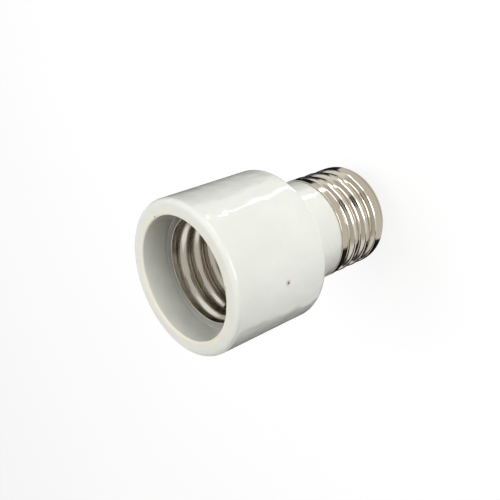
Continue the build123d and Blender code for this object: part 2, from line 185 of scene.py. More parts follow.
class Graph:
    """Writes nodes into one shader, world or geometry tree."""

    # The Mix node's sockets for the two colours that go in and the one that comes out
    MIX_FIRST, MIX_SECOND, MIX_RESULT = 6, 7, 2

    def __init__(self, tree: bpy.types.NodeTree) -> None:
        """Starts from an empty tree."""
        self.tree = tree
        tree.nodes.clear()

    def node(self, kind: str, settings: dict | None = None, inputs: dict | None = None) -> bpy.types.Node:
        """Adds a node.

        Args:
            kind: The node's type.
            settings: Its properties, set first.
            inputs: Numbers, vectors, sockets or Values by the input's name or index.

        Returns:
            The node.
        """
        node = self.tree.nodes.new(kind)
        for name, setting in (settings or {}).items():
            setattr(node, name, setting)
        for name, given in (inputs or {}).items():
            self.feed(node.inputs[name], given)
        return node

    def feed(self, socket: bpy.types.NodeSocket, given: object) -> None:
        """Links an input to what it is given, or sets it.

        Args:
            socket: The input.
            given: A Value, another socket or a constant.
        """
        if isinstance(given, Value):
            self.tree.links.new(given.socket, socket)
        elif isinstance(given, bpy.types.NodeSocket):
            self.tree.links.new(given, socket)
        else:
            socket.default_value = given

    def value(self, node: bpy.types.Node, output: str | int = 0) -> Value:
        """Wraps one output of a node."""
        return Value(self, node.outputs[output])

    def math(self, operation: str, *operands: Value | float) -> Value:
        """Adds a Math node for the operands and returns its result."""
        node = self.node("ShaderNodeMath", {"operation": operation}, dict(enumerate(operands)))
        return self.value(node)

    def split(self, vector: bpy.types.NodeSocket) -> tuple[Value, Value, Value]:
        """The three coordinates of a vector socket."""
        node = self.node("ShaderNodeSeparateXYZ", None, {0: vector})
        return self.value(node, "X"), self.value(node, "Y"), self.value(node, "Z")

    def combine(self, x: object = 0.0, y: object = 0.0, z: object = 0.0) -> bpy.types.NodeSocket:
        """The vector of three coordinates."""
        return self.node("ShaderNodeCombineXYZ", None, {0: x, 1: y, 2: z}).outputs[0]

    def noise(self, vector: bpy.types.NodeSocket, grain: Grain) -> Value:
        """A noise field from 0 to 1.

        Args:
            vector: The place that it is read at.
            grain: Its pattern.

        Returns:
            The field.
        """
        return self.value(self.node("ShaderNodeTexNoise", None, {
            "Vector": vector, "Scale": grain.scale, "Detail": grain.detail, "Roughness": grain.roughness,
        }))

    def blend(self, factor: Value | float, first: object, second: object) -> bpy.types.NodeSocket:
        """Mixes two colours, given as sockets or as linear RGB.

        Args:
            factor: The second colour's share.
            first: The colour at 0.
            second: The colour at 1.

        Returns:
            The mixed colour.
        """
        node = self.node("ShaderNodeMix", {"data_type": "RGBA"}, {0: factor})
        self.feed(node.inputs[self.MIX_FIRST], _rgba(first))
        self.feed(node.inputs[self.MIX_SECOND], _rgba(second))
        return node.outputs[self.MIX_RESULT]

    def surface(self, shader: bpy.types.Node, output: str = "ShaderNodeOutputMaterial") -> None:
        """Ends a material's or a world's tree with its shader."""
        self.node(output, None, {"Surface": shader.outputs[0]})


class GeometryGraph(Graph):
    """Writes a geometry tree with named inputs, and runs it for plain meshes."""

    FINISH = "Finish"

    def __init__(self, name: str, inputs: dict[str, str]) -> None:
        """Starts the tree with its inputs and its output.

        Args:
            name: The tree's name.
            inputs: The kinds of its inputs, such as Float, by name. The finish comes after them.
        """
        super().__init__(bpy.data.node_groups.new(name, "GeometryNodeTree"))
        for label, kind in (inputs | {self.FINISH: "Material"}).items():
            self.tree.interface.new_socket(label, in_out="INPUT", socket_type=f"NodeSocket{kind}")
        self.tree.interface.new_socket("Result", in_out="OUTPUT", socket_type="NodeSocketGeometry")
        self.given = self.node("NodeGroupInput").outputs

    def end(self, geometry: bpy.types.NodeSocket) -> None:
        """Ends the tree with real geometry in its finish.

        Args:
            geometry: What the tree has made.
        """
        real = self.node("GeometryNodeRealizeInstances", None, {"Geometry": geometry})
        inputs = {"Geometry": real.outputs[0], "Material": self.given[self.FINISH]}
        plated = self.node("GeometryNodeSetMaterial", None, inputs)
        self.node("NodeGroupOutput", None, {0: plated.outputs[0]})

    def grow(
        self, name: str, given: dict[str, object], finish: Finish, start: bpy.types.Mesh | None = None,
    ) -> bpy.types.Object:
        """Runs the tree and keeps its result as a plain mesh.

        Args:
            name: The piece's name.
            given: The tree's inputs by name.
            finish: The finish that goes on the piece.
            start: The mesh that goes in, or none for a tree that starts from nothing.

        Returns:
            The piece, with no modifier left on it.
        """
        holder = place_mesh(f"{name}_start", start or bpy.data.meshes.new(f"{name}_start"))
        nodes = holder.modifiers.new("grow", "NODES")
        nodes.node_group = self.tree
        given = given | {self.FINISH: finish.material()}
        for item in self.tree.interface.items_tree:
            if item.item_type == "SOCKET" and item.in_out == "INPUT" and item.name in given:
                nodes[item.identifier] = given[item.name]
        evaluated = holder.evaluated_get(bpy.context.evaluated_depsgraph_get())
        data = bpy.data.meshes.new_from_object(evaluated)
        data.name = name
        bpy.data.objects.remove(holder)
        return place_mesh(name, data)


def _rgba(colour: object) -> object:
    """Adds an alpha of 1 to a colour of three numbers and passes anything else on."""
    return (*colour, 1.0) if isinstance(colour, tuple) and len(colour) == 3 else colour


def new_material(name: str) -> tuple[bpy.types.Material, Graph]:
    """Makes an empty material.

    Args:
        name: Its name.

    Returns:
        The material and the graph of its tree.
    """
    made = bpy.data.materials.new(name)
    made.use_nodes = True
    return made, Graph(made.node_tree)


# Finishes

class Finish:
    """A procedural material. Subclasses give its name and write its shader."""

    name: str

    def material(self) -> bpy.types.Material:
        """Makes the material once and then reuses it.

        Returns:
            The finished material.
        """
        found = bpy.data.materials.get(self.name)
        if found:
            return found
        made, graph = new_material(self.name)
        shader = graph.node("ShaderNodeBsdfPrincipled")
        graph.surface(shader)
        self.write(graph, shader, graph.node("ShaderNodeTexCoord").outputs["Object"])
        return made

    def write(self, graph: Graph, shader: bpy.types.Node, place: bpy.types.NodeSocket) -> None:
        """Writes the finish into the shader.

        Args:
            graph: The material's tree.
            shader: Its Principled node.
            place: The place on the piece.
        """
        raise NotImplementedError

    def set(self, graph: Graph, shader: bpy.types.Node, **inputs: object) -> None:
        """Feeds shader inputs, given with underscores for the spaces in their names."""
        for name, given in inputs.items():
            graph.feed(shader.inputs[name.replace("_", " ")], _rgba(given))

    def bump(
        self, graph: Graph, height: Value, depth: float, normal: bpy.types.NodeSocket | None = None,
    ) -> bpy.types.NodeSocket:
        """Bumps the normal.

        Args:
            graph: The material's tree.
            height: The height field, 0 to 1.
            depth: Its depth in millimetres.
            normal: A normal to start from, if any.

        Returns:
            The bumped normal.
        """
        inputs = {"Height": height, "Distance": depth * MM, "Strength": 1.0}
        if normal is not None:
            inputs["Normal"] = normal
        return graph.node("ShaderNodeBump", None, inputs).outputs[0]


@dataclass(frozen=True)
class FramePlain(Finish):
    """A plain material that comes with the frame, found by the name of its slot in the record."""

    name: str

    def material(self) -> bpy.types.Material:
        """The frame's material."""
        return bpy.data.materials[self.name]


@dataclass(frozen=True)
class Speck:
    """A dark iron speck under the glaze, with a tan halo. Sizes in millimetres."""

    place: tuple[float, float, float]
    core: float
    halo: float


@dataclass(frozen=True)
class PaintedLightRing:
    """A ring of painted light in the glaze colour, round the axis: lighter for a painted highlight, darker for
    painted shade. Sizes in millimetres.
    """

    height: float
    radius: float
    reach: float
    strength: float
    colour: Colour
    full_within: float = 0.35

    def share(self, z: Value, radius: Value) -> Value:
        """The painted light's share at a height and a radius. It fades to 0 at the ring's reach."""
        apart = length(z - self.height * MM, radius - self.radius * MM)
        return apart.rise(self.reach * MM, self.full_within * self.reach * MM) * self.strength


@dataclass(frozen=True)
class Glaze(Finish):
    """White glaze, a little uneven, with its specks, a cream tint where it is thin at the rim and rings of
    painted light.
    """

    name: str = "white_glaze"
    tone: Colour = (0.83, 0.84, 0.775)
    shade: Colour = (0.785, 0.80, 0.73)
    cream: Colour = (0.88, 0.82, 0.67)
    iron: Colour = (0.030, 0.020, 0.015)
    tan: Colour = (0.50, 0.36, 0.22)
    roughness: float = 0.09
    refraction: float = 1.52
    clouds: Grain = Grain(38.0)
    cloud_span: Span = (0.35, 0.7)
    cloud_dulling: float = 0.05
    rim_height: float = 92.4
    rim_fade: Span = (-0.8, 0.4)
    rim_radius: float = 25.0
    rim_inward: Span = (0.5, -1.0)
    patches: Grain = Grain(90.0, 3.0)
    patch_span: Span = (0.38, 0.62)
    cream_least: float = 0.25
    cream_patches: float = 0.6
    rings: tuple[PaintedLightRing, ...] = (
        # painted highlight: a lighter band along the shoulder's rounded edge
        PaintedLightRing(51.6, 27.9, 1.1, 0.8, (0.93, 0.93, 0.90)),
        # painted shade: darkens the ledge between the mouth's wall and the socket shell's lip
        PaintedLightRing(81.1, 21.6, 2.0, 0.9, (0.36, 0.36, 0.33)),
    )
    specks: tuple[Speck, ...] = (
        Speck((-28.08, 4.92, 70.26), 0.5, 1.5),
        Speck((9.07, -21.46, 93.0), 0.25, 0.7),
        Speck((-22.85, -0.55, 92.9), 0.35, 1.3),
    )
    halo_strength: float = 0.6
    black_within: float = 0.55
    waves: Grain = Grain(150.0, 1.5)
    wave_depth: float = 0.5
    peel: Grain = Grain(620.0)
    peel_depth: float = 0.012

    def write(self, graph: Graph, shader: bpy.types.Node, place: bpy.types.NodeSocket) -> None:
        """Writes the glaze, from its ground colour up to the specks.

        Args:
            graph: The material's tree.
            shader: Its Principled node.
            place: The place on the piece.
        """
        x, y, z = graph.split(place)
        radius = length(x, y)
        clouds = graph.noise(place, self.clouds)
        colour = graph.blend(clouds.rise(*self.cloud_span), self.tone, self.shade)
        inner_edge = radius.rise(*((self.rim_radius + step) * MM for step in self.rim_inward))
        thin = z.rise(*((self.rim_height + step) * MM for step in self.rim_fade)) * inner_edge
        patches = graph.noise(place, self.patches).rise(*self.patch_span)
        colour = graph.blend(thin * (self.cream_least + patches * self.cream_patches), colour, self.cream)
        # painted light: the rings paint a highlight on the shoulder's edge and shade on the ledge in the mouth
        for ring in self.rings:
            colour = graph.blend(ring.share(z, radius), colour, ring.colour)
        for speck in self.specks:
            colour = self._speck(graph, colour, (x, y, z), speck)
        normal = self.bump(graph, graph.noise(place, self.waves), self.wave_depth)
        normal = self.bump(graph, graph.noise(place, self.peel), self.peel_depth, normal)
        self.set(
            graph, shader, Base_Color=colour, Roughness=self.roughness + clouds * self.cloud_dulling,
            Normal=normal, IOR=self.refraction,
        )

    def _speck(self, graph: Graph, colour: object, at: Sequence[Value], speck: Speck) -> bpy.types.NodeSocket:
        """Adds one speck.

        Args:
            graph: The material's tree.
            colour: The colour so far.
            at: The place on the piece.
            speck: The speck.

        Returns:
            The colour with the speck in it.
        """
        distance = length(*(coordinate - centre * MM for coordinate, centre in zip(at, speck.place)))
        halo = distance.rise(speck.halo * MM, speck.core * MM) * self.halo_strength
        core = distance.rise(speck.core * MM, self.black_within * speck.core * MM)
        return graph.blend(core, graph.blend(halo, colour, self.tan), self.iron)


@dataclass(frozen=True)
class Thread:
    """The rolled thread that a plated shell carries, as its tarnish needs it. Sizes in millimetres."""

    pitch: float
    lip: float
    turn: float

    def crest(self, graph: Graph, place: bpy.types.NodeSocket) -> Value:
        """Tells crests from roots.

        Args:
            graph: The material's tree.
            place: The place on the shell.

        Returns:
            1 on the crests and 0 in the roots of the thread.
        """
        x, y, z = graph.split(place)
        turns = (z / MM - self.lip) / self.pitch - graph.math("ARCTAN2", y, x) / math.tau - self.turn
        return (turns * math.tau).cos() * 0.5 + 0.5


@dataclass(frozen=True)
class Plating(Finish):
    """Nickel plate on rolled sheet: bright, with rolling lines, soft dents and brown tarnish in the roots."""

    name: str
    thread: Thread
    bright: Colour = (0.62, 0.58, 0.505)
    tarnish: Colour = (0.40, 0.335, 0.235)
    roughness: float = 0.09
    root_width: float = 0.45
    clouds: Grain = Grain(150.0, 3.0, 0.6)
    tarnish_least: float = 0.35
    tarnish_clouds: float = 0.4
    lines: Grain = Grain(2600.0)
    line_stretch: float = 0.12
    line_depth: float = 0.002
    dents: Grain = Grain(240.0, 1.0)
    dent_depth: float = 0.012
    cloud_dulling: float = 0.08
    line_dulling: float = 0.05

    def write(self, graph: Graph, shader: bpy.types.Node, place: bpy.types.NodeSocket) -> None:
        """Writes the plating.

        Args:
            graph: The material's tree.
            shader: Its Principled node.
            place: The place on the piece.
        """
        clouds = graph.noise(place, self.clouds)
        roots = self.thread.crest(graph, place).rise(self.root_width, 0.0)
        tarnish = roots * (self.tarnish_least + clouds * self.tarnish_clouds)
        x, y, z = graph.split(place)
        stretched = graph.combine(x * self.line_stretch, y * self.line_stretch, z)
        lines = graph.noise(stretched, self.lines)
        normal = self.bump(graph, graph.noise(place, self.dents), self.dent_depth)
        self.set(
            graph, shader, Base_Color=graph.blend(tarnish, self.bright, self.tarnish), Metallic=1.0,
            Normal=self.bump(graph, lines, self.line_depth, normal),
            Roughness=self.roughness + clouds * self.cloud_dulling + lines * self.line_dulling,
        )


@dataclass(frozen=True)
class Metal(Finish):
    """A plain metal with tool marks around the axis and slight clouding."""

    name: str
    clean: Colour
    dull: Colour
    roughness: float
    mark_depth: float
    clouds: Grain = Grain(320.0, 3.0, 0.6)
    cloud_span: Span = (0.4, 0.75)
    cloud_strength: float = 0.7
    cloud_dulling: float = 0.15
    marks: Grain = Grain(4200.0)
    mark_stretch: float = 0.02

    def write(self, graph: Graph, shader: bpy.types.Node, place: bpy.types.NodeSocket) -> None:
        """Writes the metal.

        Args:
            graph: The material's tree.
            shader: Its Principled node.
            place: The place on the piece.
        """
        clouds = graph.noise(place, self.clouds)
        colour = graph.blend(clouds.rise(*self.cloud_span) * self.cloud_strength, self.clean, self.dull)
        x, y, z = graph.split(place)
        marks = graph.noise(graph.combine(length(x, y), x * self.mark_stretch, z), self.marks)
        self.set(
            graph, shader, Base_Color=colour, Metallic=1.0, Normal=self.bump(graph, marks, self.mark_depth),
            Roughness=self.roughness + clouds * self.cloud_dulling,
        )


@dataclass(frozen=True)
class Insulation(Finish):
    """Pressed fibre or a woven sleeve, by its colours, gloss and grain."""

    name: str
    colour: Colour
    fleck: Colour
    roughness: float
    grain: Grain
    relief: float
    fleck_span: Span = (0.42, 0.68)
    grain_dulling: float = 0.12

    def write(self, graph: Graph, shader: bpy.types.Node, place: bpy.types.NodeSocket) -> None:
        """Writes the insulating material.

        Args:
            graph: The material's tree.
            shader: Its Principled node.
            place: The place on the piece.
        """
        grain = graph.noise(place, self.grain)
        self.set(
            graph, shader, Base_Color=graph.blend(grain.rise(*self.fleck_span), self.colour, self.fleck),
            Roughness=self.roughness + grain * self.grain_dulling,
            Normal=self.bump(graph, grain, self.relief),
        )


BRASS = FramePlain("brass")
COPPER = FramePlain("copper")
SOLDER = FramePlain("solder")
BLACK_GLASS = FramePlain("black_glass")
ZINC = Metal("zinc_plate", (0.66, 0.67, 0.68), (0.45, 0.45, 0.46), 0.26, 0.004)
SPRING_WIRE = Metal("spring_wire", (0.56, 0.56, 0.57), (0.36, 0.36, 0.37), 0.2, 0.002)
FIBRE = Insulation(
    "pressed_fibre", (0.20, 0.055, 0.035), (0.28, 0.09, 0.055), 0.55, Grain(900.0, 3.0, 0.6), 0.02,
)
SLEEVE = Insulation(
    "glass_sleeve", (0.62, 0.59, 0.48), (0.74, 0.71, 0.62), 0.6, Grain(1400.0, 3.0, 0.6), 0.05,
)


# Meshes

def arc_corner(before: Point, corner: Point, after: Point, radius: float, steps: int = 8) -> list[Point]:
    """Points of the arc that rounds a corner of an outline.

    Args:
        before: The corner's neighbour on one side.
        corner: The corner.
        after: Its neighbour on the other side.
        radius: The arc's radius.
        steps: How many lengths the arc is made of.

    Returns:
        The arc's points, from the first neighbour's side to the second's.
    """
    middle = Vector(corner)
    first = (Vector(before) - middle).normalized()
    second = (Vector(after) - middle).normalized()
    half = first.angle(second) / 2
    centre = middle + (first + second).normalized() * radius / math.sin(half)
    start = middle + first * radius / math.tan(half) - centre
    end = middle + second * radius / math.tan(half) - centre
    return [tuple(centre + start.slerp(end, i / steps) * radius) for i in range(steps + 1)]


def outline(*corners: Sequence[float]) -> list[Point]:
    """Draws a closed outline.

    Args:
        corners: Its (radius, height) corners, each with an optional rounding as a third number.

    Returns:
        The outline's points.
    """
    points: list[Point] = []
    for i, corner in enumerate(corners):
        if len(corner) == 2:
            points.append(tuple(corner))
            continue
        before, after = corners[i - 1], corners[(i + 1) % len(corners)]
        points += arc_corner(before[:2], corner[:2], after[:2], corner[2])
    return points


def turned(name: str, profile: Sequence[Point], around: int = 96) -> bpy.types.Object:
    """Turns a closed outline of (radius, height) points round the axis.

    Args:
        name: The piece's name.
        profile: The outline, in millimetres.
        around: How many steps the turn has.

    Returns:
        The piece, with its normals outwards and its poles closed.
    """
    mesh = bmesh.new()
    rings = []
    for i in range(around):
        x, y = math.cos(math.tau * i / around), math.sin(math.tau * i / around)
        rings.append([mesh.verts.new((r * x * MM, r * y * MM, z * MM)) for r, z in profile])
    for i, ring in enumerate(rings):
        following = rings[(i + 1) % around]
        for j in range(len(profile)):
            k = (j + 1) % len(profile)
            mesh.faces.new((ring[j], following[j], following[k], ring[k]))
    bmesh.ops.remove_doubles(mesh, verts=mesh.verts, dist=WELD)
    bmesh.ops.dissolve_degenerate(mesh, dist=WELD, edges=mesh.edges)
    bmesh.ops.recalc_face_normals(mesh, faces=mesh.faces)
    return piece_from(name, mesh)


def mesh_from(name: str, mesh: bmesh.types.BMesh) -> bpy.types.Mesh:
    """Makes a mesh of a finished bmesh.

    Args:
        name: The mesh's name.
        mesh: The bmesh, which is freed.

    Returns:
        The mesh.
    """
    data = bpy.data.meshes.new(name)
    mesh.to_mesh(data)
    mesh.free()
    return data


def piece_from(name: str, mesh: bmesh.types.BMesh) -> bpy.types.Object:
    """Puts a finished bmesh in the scene as a named piece."""
    return place_mesh(name, mesh_from(name, mesh))


def place_mesh(name: str, data: bpy.types.Mesh) -> bpy.types.Object:
    """Puts a mesh in the scene, smooth except at its sharp edges.

    Args:
        name: The piece's name.
        data: The mesh.

    Returns:
        The piece.
    """
    data.shade_smooth()
    data.set_sharp_from_angle(angle=SHARP_ANGLE)
    piece = bpy.data.objects.new(name, data)
    bpy.context.scene.collection.objects.link(piece)
    return piece


def round_edges(piece: bpy.types.Object, width: float, angle: float = 40.0) -> None:
    """Rounds a piece's sharp edges with a live Bevel.

    Args:
        piece: The piece.
        width: The rounding's width in millimetres.
        angle: The least angle of an edge that is rounded, in degrees.
    """
    bevel = piece.modifiers.new("edges", "BEVEL")
    bevel.width = width * MM
    bevel.segments = 2
    bevel.limit_method = "ANGLE"
    bevel.angle_limit = math.radians(angle)
    bevel.harden_normals = False


def finished(piece: bpy.types.Object, finish: Finish, body: str, slot: str, *nodes: str) -> bpy.types.Object:
    """Dresses a piece and ties it to its body and to the CAD nodes that it stands for.

    Args:
        piece: The piece.
        finish: Its finish all over.
        body: The body it rides on.
        slot: The record's material slot. Not used.
        nodes: The CAD nodes it replaces.

    Returns:
        The piece.
    """
    piece.data.materials.clear()
    piece.data.materials.append(finish.material())
    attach(piece, body)
    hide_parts(*nodes)
    log.info("%s: %d faces for %s", piece.name, len(piece.data.polygons), ", ".join(nodes))
    return piece


# Rolled shells

@dataclass(frozen=True)
class Slit:
    """A cut through a shell's wall, between two angles in radians and two heights in millimetres."""

    start: float
    end: float
    low: float
    high: float


@dataclass(frozen=True)
class RolledShell:
    """A screw shell: a flat blank in angle, height and depth, rolled into a knuckle thread by a node tree."""

    name: str
    lip: float
    bottom: float
    radius: float
    turn: float
    curl_drop: float
    curl_inset: float
    skirt: float
    floor: float = 0.0
    hole: float = 0.0
    pitch: float = 6.35
    depth: float = 1.8
    sheet: float = 0.5
    run_out: float = 3.0
    flank: float = 0.06
    slits: tuple[Slit, ...] = ()
    around: int = 180
    rows_per_turn: int = 22
    floor_rows: int = 12
    edge: float = 0.14

    SIZES = (
        "radius", "depth", "pitch", "lip", "bottom", "curl_drop", "curl_inset", "skirt", "floor", "hole",
        "run_out", "sheet",
    )
    NUMBERS = ("turn", "flank")

    @property
    def thread(self) -> Thread:
        """The thread as the plating needs it."""
        return Thread(self.pitch, self.lip, self.turn)

    def inside(self, height: float, gap: float) -> float:
        """Finds the inside of the shell's curl.

        Args:
            height: The height.
            gap: How far to stay off the sheet.

        Returns:
            The radius at that height.
        """
        share = max(0.0, (self.bottom + self.curl_drop - height) / self.curl_drop)
        slope = 3 * self.curl_inset * share**2 / self.curl_drop
        return self.radius - self.curl_inset * share**3 - (self.sheet + gap) * math.sqrt(1 + slope**2)

    def build(self, roller: GeometryGraph, plating: Plating) -> bpy.types.Object:
        """Rolls the blank and rounds its edges.

        Args:
            roller: The tree that rolls it.
            plating: Its finish.

        Returns:
            The shell.
        """
        given = {name: getattr(self, name) * MM for name in self.SIZES}
        given |= {name: getattr(self, name) for name in self.NUMBERS}
        piece = roller.grow(self.name, given, plating, mesh_from(f"{self.name}_blank", self._blank()))
        round_edges(piece, self.edge)
        return piece

    def _lines(self) -> tuple[list[float], list[float]]:
        """Sets out the sheet's grid, with lines on the edges of its slits.

        Returns:
            The angles and the heights of its lines. Heights below the bottom run inwards along the floor.
        """
        angles = [math.tau * i / self.around for i in range(self.around)]
        rows = round((self.lip - self.bottom) / self.pitch * self.rows_per_turn)
        heights = [self.bottom + (self.lip - self.bottom) * i / rows for i in range(rows + 1)]
        if self.floor:
            reach = self.radius - self.curl_inset - self.hole
            inwards = [self.bottom - reach * (1 - i / self.floor_rows) for i in range(self.floor_rows)]
            heights = inwards + heights
        for slit in self.slits:
            self._move_line(angles, slit.start)
            self._move_line(angles, slit.end)
            self._move_line(heights, slit.low)
            self._move_line(heights, slit.high)
        return angles, heights

    @staticmethod
    def _move_line(lines: list[float], edge: float) -> None:
        """Moves the line that is nearest to an edge onto it."""
        nearest = min(range(len(lines)), key=lambda i: abs(lines[i] - edge))
        lines[nearest] = edge

    def _blank(self) -> bmesh.types.BMesh:
        """Makes the sheet before rolling.

        Returns:
            The sheet: x is the angle, y the height and z the depth in its thickness.
        """
        angles, heights = self._lines()
        columns, levels = len(angles), len(heights) - 1
        solid = {
            (i, j) for i in range(columns) for j in range(levels) if not self._in_slit(angles, heights, i, j)
        }
        mesh = bmesh.new()
        outer, inner = (
            [[mesh.verts.new((angle, height * MM, depth * MM)) for height in heights] for angle in angles]
            for depth in (0.0, self.sheet)
        )
        for i, j in sorted(solid):
            n = (i + 1) % columns
            corners = ((i, j), (n, j), (n, j + 1), (i, j + 1))
            mesh.faces.new([outer[a][b] for a, b in corners])
            mesh.faces.new([inner[a][b] for a, b in reversed(corners)])
            for side, beside in enumerate(((i, j - 1), (n, j), (i, j + 1), ((i - 1) % columns, j))):
                if beside not in solid:
                    (a, b), (c, d) = corners[side], corners[(side + 1) % len(corners)]
                    mesh.faces.new((outer[c][d], outer[a][b], inner[a][b], inner[c][d]))
        loose = [vertex for vertex in mesh.verts if not vertex.link_faces]
        bmesh.ops.delete(mesh, geom=loose, context="VERTS")
        return mesh

    def _in_slit(self, angles: Sequence[float], heights: Sequence[float], column: int, level: int) -> bool:
        """Tells whether a cell of the sheet is cut away.

        Args:
            angles: The sheet's upright lines.
            heights: Its level lines.
            column: The cell's column.
            level: Its row.

        Returns:
            Whether it lies in a slit.
        """
        following = angles[(column + 1) % len(angles)]
        angle = (angles[column] + following) / 2 if following > angles[column] else angles[column]
        height = (heights[level] + heights[level + 1]) / 2
        return any(slit.start < angle < slit.end and slit.low < height < slit.high for slit in self.slits)

    @classmethod
    def roller(cls) -> GeometryGraph:
        """Writes the tree that rolls a blank into a shell, with a named input for each size.

        Returns:
            The tree.
        """
        labels = (*cls.SIZES, *cls.NUMBERS)
        graph = GeometryGraph("rolled_knuckle_thread", {"Blank": "Geometry"} | dict.fromkeys(labels, "Float"))
        size = {label: Value(graph, graph.given[label]) for label in labels}
        angle, height, depth = graph.split(graph.node("GeometryNodeInputPosition").outputs[0])
        radius, level = cls._rolled(size, angle, height, depth)
        where = graph.combine(radius * angle.cos(), radius * angle.sin(), level)
        inputs = {"Geometry": graph.given["Blank"], "Position": where}
        moved = graph.node("GeometryNodeSetPosition", None, inputs)
        inputs = {"Geometry": moved.outputs[0], "Distance": WELD}
        graph.end(graph.node("GeometryNodeMergeByDistance", None, inputs).outputs[0])
        return graph

    @staticmethod
    def _rolled(size: dict[str, Value], angle: Value, height: Value, depth: Value) -> tuple[Value, Value]:
        """Works out where a point of the blank goes.

        Args:
            size: The tree's inputs by name.
            angle: The point's place round the shell, in radians.
            height: Its height, which runs on inwards below the bottom where the shell has a floor.
            depth: Its depth under the outer skin.

        Returns:
            Its radius and its height once it is rolled, in metres.
        """
        level = height.at_least(size["bottom"] + size["floor"] * depth / size["sheet"])
        curl = ((size["bottom"] + size["curl_drop"] - level) / size["curl_drop"]).at_least(0.0)
        slope = 3.0 * size["curl_inset"] * curl * curl / size["curl_drop"]
        wall = size["radius"] - size["curl_inset"] * curl * curl * curl - depth * (slope * slope + 1.0).sqrt()
        run = (level - size["bottom"] - size["curl_drop"]).at_most(size["lip"] - size["skirt"] - level)
        full = smoothed((run / size["run_out"]).at_least(0.0).at_most(1.0))
        phase = ((level - size["lip"]) / size["pitch"] - angle / math.tau - size["turn"]) * math.tau
        wave = (phase.cos() - size["flank"] * (phase * 3.0).cos()) / (1.0 - size["flank"])
        radius = wall - full * size["depth"] * (1.0 - wave) * 0.5 - (level - height)
        return radius.at_least(size["hole"]), level


def smoothed(share: Value) -> Value:
    """The step from 0 to 1 whose slope and bend are both 0 at its ends."""
    return share * share * share * (share * (share * 6.0 - 15.0) + 10.0)


@dataclass(frozen=True)
class GripTongue:
    """The tongue that grips the lamp, cut free on three sides. Angles in degrees, heights in millimetres."""

    azimuth: float = 90.0
    inner: float = 15.4
    outer: float = 18.6
    top: float = 75.7
    length: float = 15.0
    cut: float = 1.0

    def slits(self) -> tuple[Slit, ...]:
        """Sets out the cuts.

        Returns:
            The two upright cuts and the cross cut.
        """
        middle, inner, outer = (math.radians(angle) for angle in (self.azimuth, self.inner, self.outer))
        low = self.top - self.length
        return (
            Slit(middle - outer, middle - inner, low, self.top),
            Slit(middle + inner, middle + outer, low, self.top),
            Slit(middle - outer, middle + outer, low, low + self.cut),
        )


SOCKET_SHELL = RolledShell(
    "socket_screw_shell", lip=82.0, bottom=55.0, radius=20.3, turn=0.545, curl_drop=1.6, curl_inset=1.2,
    skirt=0.8, floor=0.5, hole=7.6, slits=GripTongue().slits(),
)
CAP_SHELL = RolledShell(
    "cap_screw_shell", lip=33.0, bottom=6.5, radius=19.7, turn=0.285, curl_drop=6.4, curl_inset=3.3,
    skirt=2.2,
)


# Sub-assemblies

@dataclass
class Porcelain:
    """The glazed casting: cup, rim, shoulder, tapered neck and the spigot under the cap."""

    mouth_height: float = 93.0
    body_radius: float = 28.5
    rim_round: float = 2.0
    mouth_radius: float = 22.6
    mouth_round: float = 0.77
    shoulder_height: float = 51.0
    shoulder_round: float = 1.99
    neck_radius: float = 21.4
    neck_fillet: float = 4.97
    lip_radius: float = 19.1
    lip_cover: float = 1.8
    lip_round: float = 0.3
    spigot_radius: float = 17.1
    spigot_end: float = 17.0
    spigot_round: float = 0.6
    chamber_radius: float = 14.4
    chamber_top: float = 46.0
    chamber_round: float = 1.0
    bush_hole: float = 4.6
    hole_round: float = 0.3
    bush_seat_radius: float = 6.1
    bush_seat: float = 52.0
    seat_round: float = 0.2
    collar_radius: float = 7.3
    collar_top: float = 56.4
    collar_round: float = 0.4
    well_radius: float = 20.8
    well_round: float = 1.0
    well_edge: float = 0.5
    wall_foot: float = 0.6
    around: int = 224
    longest: float = 3.0
    glaze: Glaze = field(default_factory=Glaze)

    def build(self) -> bpy.types.Object:
        """Turns the casting and dresses it.

        Returns:
            The piece.
        """
        step = CAP_SHELL.lip - self.lip_cover
        profile = outline(
            (self.body_radius, self.mouth_height, self.rim_round),
            (self.body_radius, self.shoulder_height, self.shoulder_round),
            (self.neck_radius, self.shoulder_height, self.neck_fillet),
            (self.lip_radius, CAP_SHELL.lip),
            (self.lip_radius, step, self.lip_round),
            (self.spigot_radius, step, self.lip_round),
            (self.spigot_radius, self.spigot_end, self.spigot_round),
            (self.chamber_radius, self.spigot_end, self.spigot_round),
            (self.chamber_radius, self.chamber_top, self.chamber_round),
            (self.bush_hole, self.chamber_top, self.hole_round),
            (self.bush_hole, self.bush_seat, self.seat_round),
            (self.bush_seat_radius, self.bush_seat, self.seat_round),
            (self.bush_seat_radius, self.collar_top, self.collar_round),
            (self.collar_radius, self.collar_top, self.collar_round),
            (self.collar_radius, SOCKET_SHELL.bottom, self.collar_round),
            (self.well_radius, SOCKET_SHELL.bottom, self.well_round),
            (self.well_radius, SOCKET_SHELL.lip - (self.mouth_radius - self.well_radius), self.well_edge),
            (self.mouth_radius, SOCKET_SHELL.lip, self.wall_foot),
            (self.mouth_radius, self.mouth_height, self.mouth_round),
        )
        piece = turned("glazed_body", self._finer(profile), self.around)
        return finished(piece, self.glaze, BODY, "porcelain", "porcelain_body")

    def _finer(self, profile: Sequence[Point]) -> list[Point]:
        """Divides the outline's long runs, so that its faces stay near square.

        Args:
            profile: The outline.

        Returns:
            The outline with more points.
        """
        points: list[Point] = []
        for here, there in zip(profile, [*profile[1:], profile[0]]):
            parts = max(1, math.ceil(math.dist(here, there) / self.longest))
            points += [
                (here[0] + (there[0] - here[0]) * i / parts, here[1] + (there[1] - here[1]) * i / parts)
                for i in range(parts)
            ]
        return points


